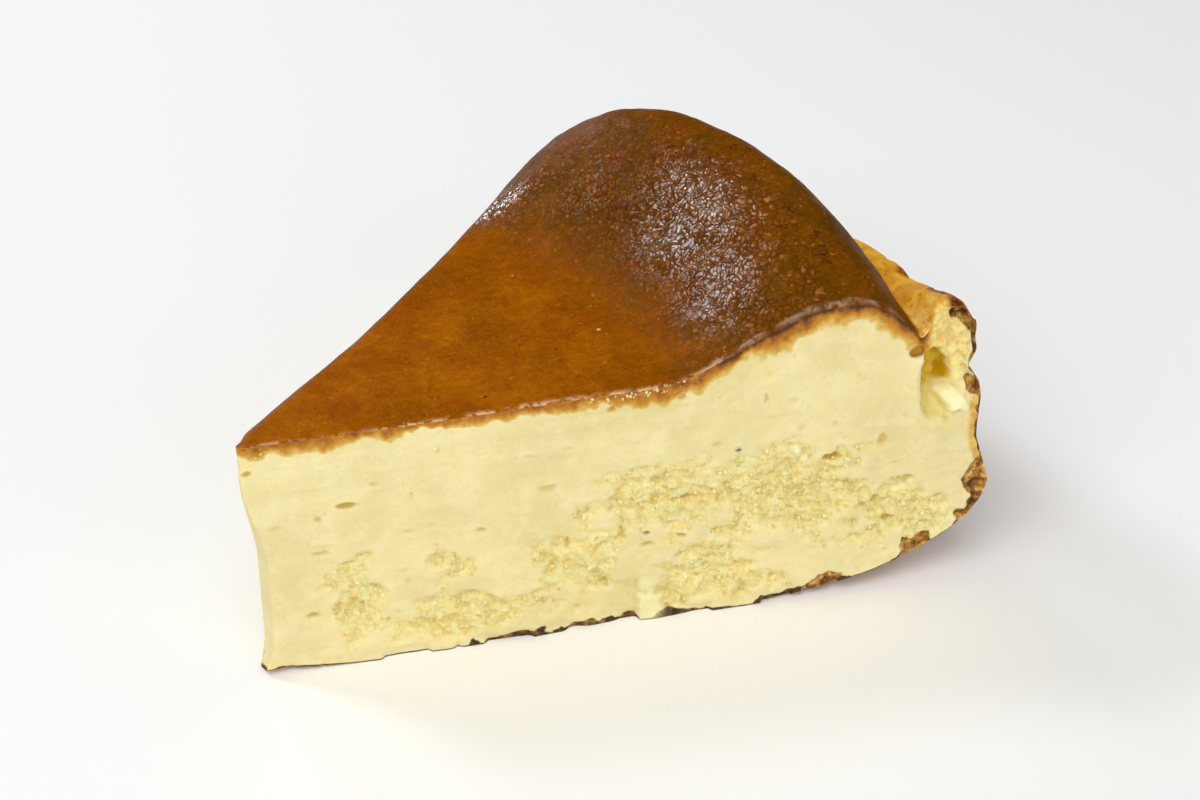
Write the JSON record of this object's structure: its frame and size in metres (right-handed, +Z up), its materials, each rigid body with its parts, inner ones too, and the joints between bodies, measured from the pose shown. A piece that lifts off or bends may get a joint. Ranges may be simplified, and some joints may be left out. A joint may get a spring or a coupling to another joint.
{
  "type": "slice of burnt-top baked cheesecake",
  "caption": "Wedge of baked cheesecake with a dark glossy top, a sunken middle, a swollen rim and a side pleated by its paper lining.",
  "frame": {"origin": "middle of the underside of the slice's bounding box, on the surface it rests on", "axes": "+X from the tip to the rim along the wedge's middle, +Y towards the far cut, +Z up"},
  "size_m": [0.1018, 0.0856, 0.0545],
  "materials": {
    "cheesecake": "moist cream-coloured cut curd under a thin glossy caramel-brown baked skin"
  },
  "bodies": {
    "root": {"cheesecake_slice": "cheesecake"}
  },
  "joints": []
}
